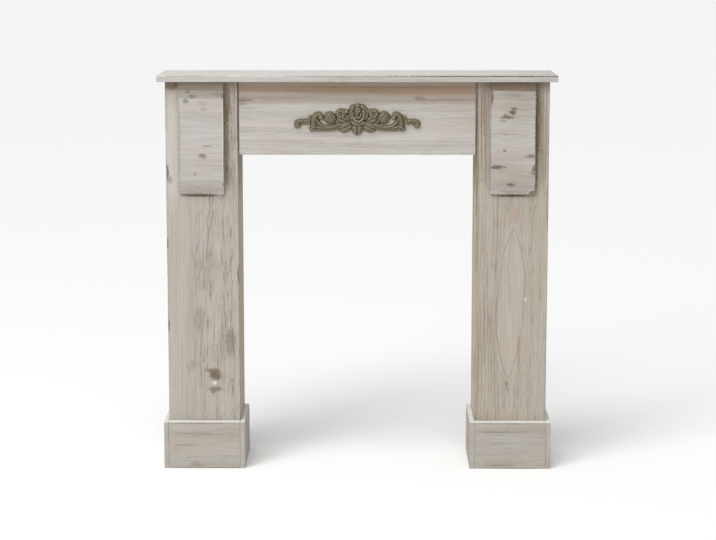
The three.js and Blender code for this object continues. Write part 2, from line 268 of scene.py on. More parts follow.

    # Under the shelf: brown stain in the wood near the shelf, with painted shade of the shelf's overhang over
    # it
    shelf_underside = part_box("shelf")[0][2] / MM
    upward = add(tree, "Math", {0: split.outputs[2], 1: -1 / MM, 2: shelf_underside},
                 operation="MULTIPLY_ADD")
    below = add(tree, "Math", {0: pattern["broad"], 1: -24.0, 2: upward}, operation="MULTIPLY_ADD")
    below = add(tree, "MapRange", {0: below, 1: -12.0, 2: shelf_shade_and_stain_reach * 3 - 12.0})
    under_shelf_shade_and_stain = add(tree, "ValToRGB", {0: below}, stops=(
        (0.0, shelf_shade_and_stain_start), (0.17, 1.0), (0.30, 0.97), (0.38, shelf_shade_and_stain_end), (0.60, shelf_shade_and_stain_end), (0.72, 0.0)))
    under_shelf_shade_and_stain = add(tree, "Math", {0: under_shelf_shade_and_stain, 1: shelf_shade_and_stain}, operation="MULTIPLY")
    colour = add(tree, "Mix", {"Factor": under_shelf_shade_and_stain, "A": colour, "B": linear(shelf_shade_and_stain_colour)}, data_type="RGBA")

    # Knots, stains and scratches, streaked by the grain. A mark is its place across and along the
    # board's face, its half width and half length, its strength and its colour. Where it isn't on
    # the face, its place out from the middle and its depth follow. All lengths are in millimetres.
    streak = add(tree, "Math", {0: pattern["pore"], 1: 1.6, 2: 0.2}, operation="MULTIPLY_ADD")
    for mark in marks:
        mark_across, mark_along, wide, long, strength, mark_colour, mark_out, deep = (
            mark if len(mark) == 8 else mark + (-half[2], FACE_MARK_DEPTH))
        offset = add(tree, "VectorMath", {0: own, 1: (mark_across, mark_along, mark_out)},
                     operation="SUBTRACT")
        share = add(tree, "VectorMath", {0: offset, 1: (wide, long, deep)}, operation="DIVIDE")
        reach = add(tree, "VectorMath", {0: share}, operation="LENGTH")
        ragged = add(tree, "Math", {0: pattern["ragged"], 1: 1.4, 2: reach}, operation="MULTIPLY_ADD")
        cover = add(tree, "MapRange", {0: ragged, 1: 1.2, 2: 1.95, 3: strength, 4: 0.0},
                    interpolation_type="SMOOTHSTEP")
        cover = add(tree, "Math", {0: cover, 1: streak}, operation="MULTIPLY")
        colour = add(tree, "Mix", {"Factor": cover, "A": colour, "B": linear(mark_colour)}, data_type="RGBA")

    # Arrises rubbed back to bare wood here and there
    gaps = []
    for value, reach in zip((across, along, out), half):
        size = add(tree, "Math", {0: value}, operation="ABSOLUTE")
        gaps.append(add(tree, "Math", {0: reach, 1: size}, operation="SUBTRACT"))
    nearer = add(tree, "Math", {0: gaps[0], 1: gaps[1]}, operation="MINIMUM")
    farther = add(tree, "Math", {0: gaps[0], 1: gaps[1]}, operation="MAXIMUM")
    farther = add(tree, "Math", {0: farther, 1: gaps[2]}, operation="MINIMUM")
    edge = add(tree, "Math", {0: nearer, 1: farther}, operation="MAXIMUM")
    reach_in = add(tree, "Math", {0: pattern["rub"], 1: 9.0, 2: -3.2}, operation="MULTIPLY_ADD")
    bite = add(tree, "Math", {0: reach_in, 1: edge}, operation="SUBTRACT")
    rubbed = add(tree, "MapRange", {0: bite, 1: -0.4, 2: 1.2, 3: 0.0, 4: wear})
    colour = add(tree, "Mix", {"Factor": rubbed, "A": colour, "B": linear("#857866")}, data_type="RGBA")

    # Relief: open pores and veins about a tenth of a millimetre deep under a dead-matt wash
    hollow = add(tree, "Math", {0: fine, 1: pore})
    height = add(tree, "Math", {0: ring, 1: 0.5, 2: hollow}, operation="MULTIPLY_ADD")
    bump = add(tree, "Bump", {"Height": height, "Distance": 0.00015, "Strength": 0.6}, invert=True)
    shader = add(tree, "BsdfPrincipled", {"Base Color": colour, "Normal": bump, "Roughness": 0.85,
                                          "Specular IOR Level": 0.3})
    add(tree, "OutputMaterial", {"Surface": shader})
    return material


# Colours of marks: dark joint, knot, stain, dirt in an arris (also used for painted shadow lines), brown for
# bare wood and for painted shade, reddish wood, thick wash (also used for a painted highlight)
JOINT_SHADE = "#4f4335"
KNOT = "#75685a"
STAIN = "#857a6c"
DIRT_AND_SHADE = "#6d6454"
BROWN = "#746550"
REDDISH = "#a5846d"
THICK_WASH_AND_HIGHLIGHT = "#d3cec2"

# Left leg: smooth on its outer half, open pores on the inner one, a knot cluster low down
left_front_marks = (
    (-74, 330, 18, 150, 0.5, "#cbc8c1"),
    (25, -246, 17, 9, 0.9, "#75694f"),
    (29, -258, 17, 12, 0.95, "#6e6250"),
    (8, -242, 10, 5, 0.6, STAIN),
    (27, -276, 6, 5, 1.0, THICK_WASH_AND_HIGHLIGHT),
    (29, -292, 20, 7, 0.75, "#756a5b"),
    (22, -300, 8, 5, 0.6, "#756a5b"),
    (68, -168, 15, 38, 0.7, "#80766a"),
    (40, -195, 20, 40, 0.25, STAIN),
    (-12, -112, 16, 34, 0.45, "#8a7f73"),
    (10, 20, 40, 60, 0.2, STAIN),
    (-28, -228, 8, 14, 0.4, STAIN),
    # Dark line just below the corbel: painted shadow of the corbel
    (-8, 208, 44, 3.2, 0.95, "#5d5344"),
    (-40, -238, 5, 18, 0.3, STAIN),
    # Dark brown strip beside the corbel's right edge: brown stain with painted shadow of the corbel over it
    (64, 440, 11, 60, 0.85, BROWN),
    (62, 350, 8, 90, 0.7, BROWN),
    (63, 262, 9, 30, 0.5, BROWN),
    (78, 250, 8, 60, 0.25, STAIN),
    # Brown patch at the top left, just under the shelf: brown wood with painted shade of the shelf
    (-74, 486, 20, 12, 0.85, BROWN),
    (-89, 265, 6, 22, 0.9, DIRT_AND_SHADE),
    (-80, 248, 6, 10, 0.5, DIRT_AND_SHADE),
    (-90, 84, 4, 16, 0.8, DIRT_AND_SHADE),
    (-90, -127, 4, 18, 0.8, DIRT_AND_SHADE),
    (90, 5, 5, 25, 0.8, STAIN),
    (91.5, 404, 2, 150, 0.95, JOINT_SHADE, 0, 30),
)
left_front_dents = (((-300, -73.5, 501), 30, 2.6), ((-482, -73.5, 760), 26, 1.0))
worn_board("pilaster_front_left", washed_paulownia(
    "Whitewashed paulownia, left pilaster front", "pilaster_front_left", UPRIGHT, 1, wash="#b5b0a8",
    warm="#b6aba1", vein="#7d7366", rings=0.2, pores=0.6, pores_from=(-38, 10), pore_colour="#62594b",
    marks=left_front_marks),
    1, left_front_dents)

# Right leg: a long drop of figure where the saw crossed a ring, straight grain and reddish streaks
right_front_marks = (
    (-9, -279, 4, 12, 0.8, "#7f745f"),
    (-6, -292, 3, 8, 0.6, "#7f745f"),
    (22, -180, 3.5, 34, 0.45, REDDISH),
    (10, 160, 9, 24, 0.35, REDDISH),
    (-84, -130, 5, 260, 0.3, REDDISH),
    # Dark line just below the corbel: painted shadow of the corbel
    (0, 208, 48, 3.2, 0.95, "#5d5344"),
    (-89, 300, 4, 190, 0.6, BROWN),
    (-72, 430, 16, 70, 0.5, "#8d7f6d"),
    (-66, 300, 12, 80, 0.3, "#8d7f6d"),
    (36, -58, 3, 5, 0.8, THICK_WASH_AND_HIGHLIGHT),
    # Dark strip along the corbel's right edge: brown stain with painted shadow of the corbel
    (64, 400, 9, 100, 0.75, BROWN),
    (59.5, 352, 4, 150, 0.85, "#665c4a"),
    (78, 330, 8, 130, 0.4, "#8d7f6d"),
    # Brown band across the top, just under the shelf: brown wood with painted shade of the shelf
    (0, 486, 90, 10, 0.5, BROWN),
    (89, 180, 4, 60, 0.5, STAIN),
    (-88, 60, 4, 60, 0.4, STAIN),
    (-79, 370, 1.8, 120, 0.75, "#7a6a59"),
    (-68, 330, 1.5, 170, 0.6, "#8a7462"),
    (-73, 420, 1.2, 70, 0.7, "#7a6a59"),
    (74, 400, 1.8, 120, 0.6, "#7a6a59"),
    (83, 360, 1.4, 150, 0.5, "#8a7462"),
    (-91.5, 404, 2, 150, 0.95, JOINT_SHADE, 0, 30),
)
worn_board("pilaster_front_right", washed_paulownia(
    "Whitewashed paulownia, right pilaster front", "pilaster_front_right", UPRIGHT, 2, wash="#b7ada4",
    warm="#b4ab9c", vein="#776c5c", rings=0.62, ring_width=9.5, rings_from=(10, -50), pores=0.36,
    figure=(0, -69, 36, 198, 0.035, 26), marks=right_front_marks), 2)

inner_side_marks = {"inner": ((-30, 330, 120, 130, 0.55, "#6f5c49", 0, 40),), "outer": ()}
# The right leg's side boards get a paler wash than the left leg's: painted light, for the light from the left
# falling on the right leg's inner side.
for seed, side, wash in ((3, "left", "#c4b9ac"), (4, "right", "#cabfb3")):
    for board, offset in (("outer", 0.25), ("inner", 0.5)):
        node = f"pilaster_{board}_side_{side}"
        worn_board(node, washed_paulownia(
            f"Whitewashed paulownia, {side} pilaster {board} side", node, UPRIGHT_SIDE, seed + offset,
            wash=wash, warm="#bcac9b", vein="#8a7b6a", pores=0.32, marks=inner_side_marks[board]),
            seed)

# Plinth boards: three short boards boxed round each foot, butted at the front corners so that the
# side boards show their ends beside the front board.
# Dark line along the bottom arris of each plinth front: painted contact shadow where the foot meets the floor
foot_contact_shade = ((-60.5, 12, 2.4, 90, 0.75, DIRT_AND_SHADE, -9, 5),)
# Pale band along the top ledge of each plinth board: pooled wash with a painted highlight from the light
# above
ledge_wash_and_highlight = ((61, 0, 2.0, 240, 1.0, "#deddd8", 0, 20),)
plinth_marks = {
    "left": ledge_wash_and_highlight + foot_contact_shade + (
        (0, -48, 3, 32, 0.5, STAIN), (-50, -23, 8, 16, 0.45, STAIN), (36, -101, 18, 3, 0.8, DIRT_AND_SHADE),
        (30, -30, 4, 60, 0.3, STAIN), (57.5, 0, 1.6, 100, 0.5, DIRT_AND_SHADE, -9, 2.5)),
    "right": ledge_wash_and_highlight + foot_contact_shade + (
        (35, -20, 3, 62, 0.6, "#857a6b"), (-52, -30, 3, 34, 0.6, "#857a6b"),
        (-50, 88, 9, 9, 0.4, "#ab8f80"), (5, -20, 3, 50, 0.3, STAIN),
        (57.5, 0, 1.6, 100, 0.45, DIRT_AND_SHADE, -9, 2.5)),
}
end_patch = {"plinth_outer_side_right": ((-48, -94, 12, 14, 0.4, "#ab8f80", 0, 30),)}
for seed, side in ((7, "left"), (8, "right")):
    node = f"plinth_front_{side}"
    worn_board(node, washed_paulownia(
        f"Whitewashed paulownia, {side} plinth front", node, LEVEL, seed, wash="#b3afa8", warm="#b1a79e",
        vein="#80766a", rings=0.22, ring_width=6.0, pores=0.25, wear=0.06, marks=plinth_marks[side]),
        seed, arris=TIGHT_ARRIS_RADIUS)
    for board, offset in (("outer", 0.25), ("inner", 0.5)):
        node = f"plinth_{board}_side_{side}"
        worn_board(node, washed_paulownia(
            f"Whitewashed paulownia, {side} plinth {board} side", node, LEVEL_SIDE, seed + offset,
            wash="#b5b1aa", warm="#b3a9a0", vein="#82786c", rings=0.22, ring_width=6.0, pores=0.2,
            wear=0.06, marks=ledge_wash_and_highlight + end_patch.get(node, ())),
            seed + 2, arris=TIGHT_ARRIS_RADIUS)

# Frieze board: one level board let in between the pilasters just behind their faces, its grain
# running across. Under the shelf it is darkened orange-brown: brown stain in the wood with painted shade of
# the shelf over it.
frieze_marks = (
    (50, 0, 17, 420, 0.34, "#8f877d"),
    (50, 156, 6, 16, 0.65, "#7f7468"),
    (46, 225, 3, 90, 0.5, STAIN),
    (45, -286, 5, 22, 0.75, "#7f7468"),
    (36, -290, 4, 16, 0.6, STAIN),
    (25, -270, 2, 40, 0.4, STAIN),
    (52, -200, 4, 120, 0.4, "#978674"),
    (60, 150, 5, 140, 0.4, "#a08870"),
    (77, 60, 3, 230, 0.5, "#7d6a55"),
    (69, -40, 2, 200, 0.4, "#7d6a55"),
)
worn_board("frieze_board", washed_paulownia(
    "Whitewashed paulownia, frieze", "frieze_board", LEVEL, 12, wash="#c2bfbb", warm="#c0b9b2",
    vein="#857b6e", rings=0.34, ring_width=4.6, pores=0.14, marks=frieze_marks, shelf_shade_and_stain=0.9,
    shelf_shade_and_stain_reach=30.0, shelf_shade_and_stain_start=0.5, shelf_shade_and_stain_end=0.4, shelf_shade_and_stain_colour="#9a8069"), 12)

# Corbels: solid blocks planed to an ogee with the grain lying level, so that the curve cuts across
# the rings. They are rubbed hardest of all the pieces, with knots left in.
PROFILE_ROWS = 56
PROFILE_COLUMNS = 20
CORBEL_ARRIS = 1.6 * MM
WORN_BAND = 3 * CORBEL_ARRIS
LONG_HOLLOWS = 55
SHORT_HOLLOWS = 150
SHORT_SHARE = 0.5
LIGHT_WEAR = 0.5
left_corbel_marks = (
    (95, -37, 8, 8, 0.7, "#78736e"),
    (106, -22, 6, 11, 0.8, "#736b63"),
    (118, -33, 6, 8, 0.7, "#736b63"),
    (112, 40, 8, 16, 0.5, "#857b70"),
    (88, 2, 6, 14, 0.3, "#878079"),
    (74, 8, 6, 10, 0.35, "#878079"),
    (-18, 13, 2, 13, 0.7, "#7b7570"),
    (-42, 2, 6, 10, 0.75, "#76716c"),
    (-46, 8, 6, 6, 0.5, "#76716c"),
    (-88, -16, 5, 5, 0.6, "#857c73"),
    # Dark line along the bottom arris: painted shadow under the corbel
    (-141, -14, 4, 70, 0.9, DIRT_AND_SHADE),
    (107, 54, 8, 4, 0.9, DIRT_AND_SHADE),
    (-115, 55, 6, 3, 0.9, DIRT_AND_SHADE),
    (-112, 0, 10, 70, 0.3, "#978a7f"),
    (-132, 0, 14, 70, 0.5, "#978a7f"),
    (0, -54, 130, 3, 0.4, STAIN),
    # Pale line along the right arris: thick wash with a painted highlight
    (0, 54.5, 120, 1.8, 0.6, THICK_WASH_AND_HIGHLIGHT),
)
right_corbel_marks = (
    (75, 20, 34, 50, 0.25, "#8f7f6c"),
    (-60, 0, 60, 60, 0.18, "#a58f7c"),
    (-105, 0, 46, 80, 0.35, "#9c9080"),
    (84, 0, 44, 80, 0.32, "#a09383"),
    (76, 2, 4, 11, 0.9, KNOT),
    (67, -3, 7, 10, 0.95, "#6b5a49"),
    (59, -20, 5, 8, 0.85, KNOT),
    (54, -14, 4, 20, 0.9, "#6f5e4d"),
    (46, -26, 5, 12, 0.5, "#8f7d6c"),
    (108, 4, 4, 22, 0.5, STAIN),
    (-29, -22, 4, 5, 0.8, "#77706a"),
    (-42, 45, 5, 12, 0.85, "#6f675f"),
    (-45, 36, 3, 14, 0.4, "#6f675f"),
    (-70, -43, 6, 18, 0.95, "#6b6459"),
    (-70, -22, 3, 8, 0.7, "#6b6459"),
    (-74, 53, 11, 7, 0.95, "#7b6150"),
    (-86, 50, 5, 8, 0.6, "#7b6150"),
    (-116, -6, 5, 12, 0.9, "#6f6559"),
    (12, -14, 1.8, 36, 0.55, "#857d73"),
    (-134, 10, 5, 60, 0.4, STAIN),
    # Dark line along the bottom arris: painted shadow under the corbel
    (-142, 0, 3.5, 80, 0.8, DIRT_AND_SHADE),
    (-138, 50, 9, 10, 0.9, DIRT_AND_SHADE),
    (106, -55, 26, 5, 0.85, DIRT_AND_SHADE),
    # Dark line down the right edge: rough worn edge with painted shadow
    (10, 57, 170, 3.6, 0.95, "#6a604e"),
)


def corbel(side, material, seed, roughness):
    """A block whose face follows the CAD profile, read as thickness at each height. Its edges are
    worn in hollows, and roughness says how hard the right-hand one has been knocked."""
    node = "corbel_" + side
    low, high = (Vector(corner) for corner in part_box(node))
    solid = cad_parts[node].data
    outline = sorted({(round(v.co.z, 6), round(high.y - v.co.y, 6))
                      for v in solid.vertices if v.co.y < high.y - MM})

    def thickness(z):
        for (z0, t0), (z1, t1) in zip(outline, outline[1:]):
            if z0 <= z <= z1 and z1 > z0:
                return t0 + (t1 - t0) * (z - z0) / (z1 - z0)
        return outline[-1][1]

    bm = bmesh.new()
    bmesh.ops.create_grid(bm, x_segments=PROFILE_COLUMNS, y_segments=PROFILE_ROWS, size=0.5)
    bmesh.ops.scale(bm, vec=(high.x - low.x, high.z - low.z, 1), verts=bm.verts)
    bmesh.ops.rotate(bm, matrix=Matrix.Rotation(math.pi / 2, 3, "X"), verts=bm.verts)
    bmesh.ops.translate(bm, vec=((low.x + high.x) / 2, high.y, (low.z + high.z) / 2), verts=bm.verts)
    extruded = bmesh.ops.extrude_face_region(bm, geom=bm.faces[:])
    face = [item for item in extruded["geom"] if isinstance(item, bmesh.types.BMVert)]
    for vert in face:
        vert.co.y = high.y - thickness(vert.co.z)
    bmesh.ops.recalc_face_normals(bm, faces=bm.faces)
    arrises = [edge for edge in bm.edges if edge.is_manifold and edge.calc_face_angle(0) > 0.9]
    bmesh.ops.bevel(bm, geom=arrises, offset=CORBEL_ARRIS, segments=ARRIS_STEPS, profile=0.5,
                    affect="EDGES", material=-1)
    for vert in bm.verts:
        front = high.y - thickness(vert.co.z)
        from_left, from_right = vert.co.x - low.x, high.x - vert.co.x
        if min(from_left, from_right) < WORN_BAND and vert.co.y < front + WORN_BAND:
            hollows = max(0.0, noise.noise(vert.co * LONG_HOLLOWS + Vector((seed, 0, 0))))
            hollows += SHORT_SHARE * max(0.0, noise.noise(vert.co * SHORT_HOLLOWS + Vector((seed, 0, 0))))
            worn = hollows * (roughness if from_right < from_left else LIGHT_WEAR) * MM
            vert.co.x += worn if from_left < from_right else -worn
            vert.co.y += worn
    piece = finish_mesh(bm, node + "_block")
    piece.data.materials.append(material)
    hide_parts(node)
    return piece


# Both corbels are darkened brown at full strength under the shelf: brown stain with painted shade of the
# shelf over it.
corbel("left", washed_paulownia(
    "Whitewashed paulownia, left corbel", "corbel_left", LEVEL, 21, wash="#bcb9b6", warm="#b8b0ab",
    vein="#8b827a", rings=0.16, ring_width=8.0, pores=0.1, wear=0.5, marks=left_corbel_marks, shelf_shade_and_stain=1.0,
    shelf_shade_and_stain_reach=22.0, shelf_shade_and_stain_colour="#83776a"), 21, 0.6)
corbel("right", washed_paulownia(
    "Whitewashed paulownia, right corbel", "corbel_right", LEVEL, 22, wash="#bebcb9", warm="#b7afa8",
    vein="#857b70", rings=0.2, ring_width=8.0, pores=0.16, wear=0.7, marks=right_corbel_marks, shelf_shade_and_stain=1.0,
    shelf_shade_and_stain_reach=23.0, shelf_shade_and_stain_end=0.24, shelf_shade_and_stain_colour="#746555"), 22, 3.2)

# Shelf: a single wide board laid on the legs and overhanging them, its front arris rubbed dark
# toward the right-hand end.
shelf_marks = (
    (0, -300, 200, 950, 0.75, "#dbd8cf", 8, 3),
    (-97, 330, 2.6, 300, 0.9, DIRT_AND_SHADE, 7, 2.8),
    (-97, -60, 2.0, 130, 0.4, DIRT_AND_SHADE, 7, 2.6),
    (-97, -420, 2.0, 60, 0.3, DIRT_AND_SHADE, 7, 2.6),
)
worn_board("shelf", washed_paulownia(
    "Whitewashed paulownia, shelf", "shelf", FLAT, 31, wash="#c0bfbc", warm="#bbb6b0", vein="#8e857a",
    rings=0.14, ring_width=9.0, pores=0.12, wear=0.3, marks=shelf_marks, shelf_shade_and_stain=0.0), 31)

# Rose ornament: one casting in resin, brushed dull olive bronze and rubbed back on its high
# places; pinned to the middle of the frieze. It is laid out flat, x along, y up and z out of the
# board, in hundredths of its half length, and then stood up on the board.
ornament_back_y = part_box("rose_swag")[1][1]
SWAG_UNIT = 1.6 * MM
RELIEF = 15 * MM
VOXEL = 0.84 * MM
swag_mesh = bpy.data.meshes.new("rose_swag_pattern")
swag = bmesh.new()


def put_in(part, turn, place):
    """Turns and places a modelled part and adds it to the swag."""
    bmesh.ops.rotate(part, matrix=Matrix.Rotation(turn, 3, "Z"), verts=part.verts)
    bmesh.ops.translate(part, vec=place, verts=part.verts)
    bmesh.ops.recalc_face_normals(part, faces=part.faces)
    part.to_mesh(swag_mesh)
    part.free()
    swag.from_mesh(swag_mesh)


def lump(x, y, radius_x, radius_y, height, turn=0.0):
    """Domed lump: a berry, a flower's eye or the round end of a scroll."""
    part = bmesh.new()
    bmesh.ops.create_uvsphere(part, u_segments=28, v_segments=18, radius=1)
    bmesh.ops.scale(part, vec=(radius_x * SWAG_UNIT, radius_y * SWAG_UNIT, height * RELIEF),
                    verts=part.verts)
    put_in(part, turn, (x * SWAG_UNIT, y * SWAG_UNIT, 0))


def smooth_path(places, steps):
    """Points along a smooth curve through a few places."""
    points = [Vector((x, y)) for x, y in places]
    ends = [2 * points[0] - points[1]] + points + [2 * points[-1] - points[-2]]
    path = []
    for i in range(len(points) - 1):
        a, b, c, d = ends[i:i + 4]
        for k in range(steps):
            t = k / steps
            path.append(0.5 * (2 * b + (c - a) * t + (2 * a - 5 * b + 4 * c - d) * t ** 2
                               + (3 * b - a - 3 * c + d) * t ** 3))
    path.append(points[-1])
    return path


def stem(places, start_radius, end_radius, height, lift=0.0):
    """Scrolled stem: a ring of points drawn along a curve."""
    sides = 28
    path = smooth_path(places, 8)
    part = bmesh.new()
    ring = bmesh.ops.create_circle(part, cap_ends=True, radius=1, segments=sides)["verts"]
    ring_edges = part.edges[:]
    for i, point in enumerate(path):
        share = i / (len(path) - 1)
        radius = start_radius + (end_radius - start_radius) * share
        ahead = path[min(i + 1, len(path) - 1)] - path[max(i - 1, 0)]
        across = Vector((ahead.y, -ahead.x)).normalized()
        for k, vert in enumerate(ring):
            angle = 2 * math.pi * k / sides
            side = math.cos(angle) * radius
            vert.co = Vector(((point.x + across.x * side) * SWAG_UNIT,
                              (point.y + across.y * side) * SWAG_UNIT,
                              (math.sin(angle) * height + lift) * RELIEF))
        if i == len(path) - 1:
            bmesh.ops.contextual_create(part, geom=ring_edges)
            break
        drawn = bmesh.ops.extrude_edge_only(part, edges=ring_edges)["geom"]
        ring_edges = [item for item in drawn if isinstance(item, bmesh.types.BMEdge)]
        fresh = [item for item in drawn if isinstance(item, bmesh.types.BMVert)]
        ring = [min(fresh, key=lambda v, old=old: (v.co - old.co).length) for old in ring]
    put_in(part, 0, (0, 0, 0))


def leaf(x, y, angle, length, width, height, lobes, veins=5, point=0.4):
    """Leaf: a domed blade with lobed edges, a sunk midrib and slanting veins."""
    lobe_depth, midrib_depth, vein_depth = 0.08, 0.28, 0.16
    part = bmesh.new()
    bmesh.ops.create_uvsphere(part, u_segments=64, v_segments=56, radius=1)
    for vert in part.verts:
        side, share = vert.co.x, (vert.co.z + 1) / 2
        dome = -vert.co.y
        taper = 1 - point * share ** 3
        lobe = 1 + lobe_depth * math.sin(share * lobes * 2 * math.pi)
        midrib = 1 - midrib_depth * (1 - min(1.0, abs(side) * 3.2))
        slant = (share - 0.55 * abs(side)) * veins * 2 * math.pi
        vein = 1 - vein_depth * max(0.0, math.cos(slant)) ** 2 * min(1.0, abs(side) * 4)
        vert.co = Vector((side * taper * lobe * width / 2 * SWAG_UNIT, share * length * SWAG_UNIT,
                          dome * midrib * vein * height * RELIEF))
    put_in(part, angle - math.pi / 2, (x * SWAG_UNIT, y * SWAG_UNIT, 0))


def bud(x, y, angle, length, width, height, seams):
    """Closed bud: a fat egg whose wrapped petals show as seams from its base to its tip."""
    seam_depth, notch_depth, seam_twist = 0.12, 0.05, 1.4
    part = bmesh.new()
    bmesh.ops.create_uvsphere(part, u_segments=72, v_segments=36, radius=1)
    for vert in part.verts:
        around = math.atan2(-vert.co.y, vert.co.x)
        twist = around * seams + vert.co.z * seam_twist
        seam = 1 - seam_depth * max(0.0, math.cos(twist)) ** 3
        notch = 1 + notch_depth * math.cos(vert.co.z * 20) * abs(vert.co.x)
        vert.co = Vector((vert.co.x * width / 2 * notch * SWAG_UNIT,
                          (vert.co.z + 1) / 2 * length * SWAG_UNIT,
                          -vert.co.y * seam * height * RELIEF))
    put_in(part, angle - math.pi / 2, (x * SWAG_UNIT, y * SWAG_UNIT, 0))


def small_flower(x, y, radius, height, turn):
    """Small flower: five broad petals, each creased down its middle, about a small eye."""
    lump(x, y, radius * 0.6, radius * 0.6, height * 0.7)
    for i in range(5):
        angle = turn + i * 2 * math.pi / 5
        leaf(x, y, angle, radius * 1.04, radius * 1.1, height * (0.94 + 0.06 * (i % 2)), 0.5, 2, -0.25)
    lump(x, y, radius * 0.22, radius * 0.22, height * 1.06)


def rose(x, y):
    """Full rose seen a little from above: back petals, a tall furled heart, petals folded round it
    and the rolled lips of the front ones."""
    lump(x, y, 13.6, 15.4, 0.5)
    for petal_x, petal_y, radius_x, radius_y, height, turn in (
            (-9.0, 10.2, 6.2, 5.0, 0.6, 0.9), (-1.6, 13.0, 6.4, 4.6, 0.56, 0.1),
            (7.2, 11.0, 6.2, 5.0, 0.6, -0.8), (-9.4, -1.0, 5.0, 10.2, 0.64, 0.12),
            (11.0, 0.4, 4.6, 11.0, 0.62, -0.14), (0.6, -7.0, 8.4, 8.0, 0.66, 0.0),
            (7.0, 2.4, 3.0, 8.6, 0.78, -0.1)):
        lump(x + petal_x, y + petal_y, radius_x, radius_y, height, turn)
    bud(x - 0.9, y - 5.4, math.pi / 2, 19.6, 12.4, 0.9, 6)
    lips = (
        (1.2, 0.48, ((-9.0, 8.0), (-12.6, 3.4), (-12.4, -2.6), (-9.4, -7.4))),
        (1.2, 0.48, ((9.0, 11.0), (13.2, 6.0), (14.0, -1.0), (12.0, -6.6))),
        (2.4, 0.50, ((-8.6, -12.2), (-4.6, -14.6), (1.0, -15.0), (6.4, -14.2), (9.8, -11.6))),
        (1.9, 0.68, ((-7.6, -3.6), (-4.4, -9.0), (1.2, -10.8), (6.2, -7.2), (8.6, -1.0), (8.8, 6.0))),
        (1.2, 0.80, ((-4.4, -1.6), (-0.6, -4.6), (3.6, -2.4), (4.4, 3.0))),
        (1.0, 0.84, ((-3.8, 6.6), (-0.6, 4.4), (2.6, 6.4), (2.0, 9.6))),
    )
    for radius, lift, places in lips:
        stem([(x + px, y + py) for px, py in places], radius, radius, 0.16, lift=lift)


def arm(side):
    """One arm: twin stems that run out to a foot, a scroll that curls back over them, a spur, a beaded
    neck and a hook at the end."""
    def path(*places):
        return [(side * px, py) for px, py in places]

    stem(path((20, -9), (32, -14.4), (45, -16.4), (58, -16.2), (70, -15.6)), 2.7, 3.0, 0.46)
    stem(path((22, -7), (34, -11.8), (46, -13.6), (58, -13), (68, -10.6)), 2.4, 3.3, 0.54)
    stem(path((27, -6.4), (38, -10.8), (46.5, -12), (54.5, -10.4), (60.4, -6), (65, 1)), 1.6, 3.5, 0.62)
    lump(side * 67, -8, 6.4, 7.0, 0.54)
    stem(path((68.6, -13.4), (68.8, -6), (67.8, 1), (64.6, 6.2), (60, 7.5), (56.8, 5.4)), 5.3, 4.6, 0.74)
    lump(side * 57.4, 3.6, 4.9, 4.7, 0.84)
    lump(side * 71.2, -15.1, 4.9, 4.3, 0.64)
    lump(side * 65.8, -15.8, 4.2, 3.3, 0.52)
    stem(path((71, 0), (74.4, 4), (76, 6.2)), 3.6, 1.6, 0.44)
    lump(side * 76.6, -4, 4.2, 4.6, 0.46)
    for bead_x, bead_y in ((75.4, -1.2), (76.2, -6.2), (79.4, -3.8)):
        lump(side * bead_x, bead_y, 2.7, 2.5, 0.6)
    stem(path((74, -4.2), (82, -3.8), (89, -3.9), (93, -6), (94, -9)), 4.4, 5.2, 0.54)
    lump(side * 94, -5, 4.8, 4.9, 0.5)
    lump(side * 93.8, -9, 5.8, 5.6, 0.62)
    stem(path((79, -2.2), (87, -1.8), (93, -4), (94.4, -9)), 1.7, 2.0, 0.26, lift=0.36)


for side, lean in ((-1, 0.96), (1, 1.06)):
    arm(side)

    def outward(angle, side=side):
        """An angle from the right half, mirrored for the left one."""
        return angle if side > 0 else math.pi - angle

    bud(side * 36.6, -6.4, outward(math.pi * 0.32 * lean), 21, 20, 0.82, 9 - 2 * side)
    leaf(side * 42.6, -3.4, outward(math.pi * 0.40 * lean), 16.4, 13, 0.66, 4, 4)
    lump(side * 30.6, -4.6, 5.4, 5.6, 0.4)
    lump(side * 15.6, 1.4, 5.4, 6.6, 0.4)
    leaf(side * 13, -4, outward(math.pi * 0.12), 22, 15, 0.62, 2, 4)
    small_flower(side * 25.6, 8.8, 8.4, 0.74, math.pi / 2 + side * 0.3)
    lump(side * 17.4, 12.2, 4.8, 4.6, 0.62)
    leaf(side * 8, -6.5, outward(-math.pi * 0.15), 24.5, 18, 0.68, 3, 4, 0.2)
leaf(0, -3.5, -math.pi / 2, 22, 20, 0.72, 3, 5, 0.2)
rose(1.6, 7.6)

swag.to_mesh(swag_mesh)
swag.free()
pattern = bpy.data.objects.new("rose_swag_pattern", swag_mesh)
bpy.context.scene.collection.objects.link(pattern)
fuse = pattern.modifiers.new("fuse", "REMESH")
fuse.mode = "VOXEL"
fuse.voxel_size = VOXEL
fused = pattern.evaluated_get(bpy.context.evaluated_depsgraph_get()).to_mesh()
bm = bmesh.new()
bm.from_mesh(fused)
bpy.data.objects.remove(pattern)
bmesh.ops.smooth_vert(bm, verts=bm.verts, factor=0.5, use_axis_x=True, use_axis_y=True, use_axis_z=True)
# The back is rubbed down flat and needs few faces
for vert in bm.verts:
    vert.co.z = max(0.0, vert.co.z)


def on_the_back(item):
    """Whether every face round an edge or a corner lies on the casting's flat back."""
    return bool(item.link_faces) and all(face.calc_center_median().z == 0 for face in item.link_faces)


bmesh.ops.dissolve_limit(bm, angle_limit=math.radians(1), use_dissolve_boundaries=False,
                         verts=[vert for vert in bm.verts if on_the_back(vert)],
                         edges=[edge for edge in bm.edges if on_the_back(edge)])

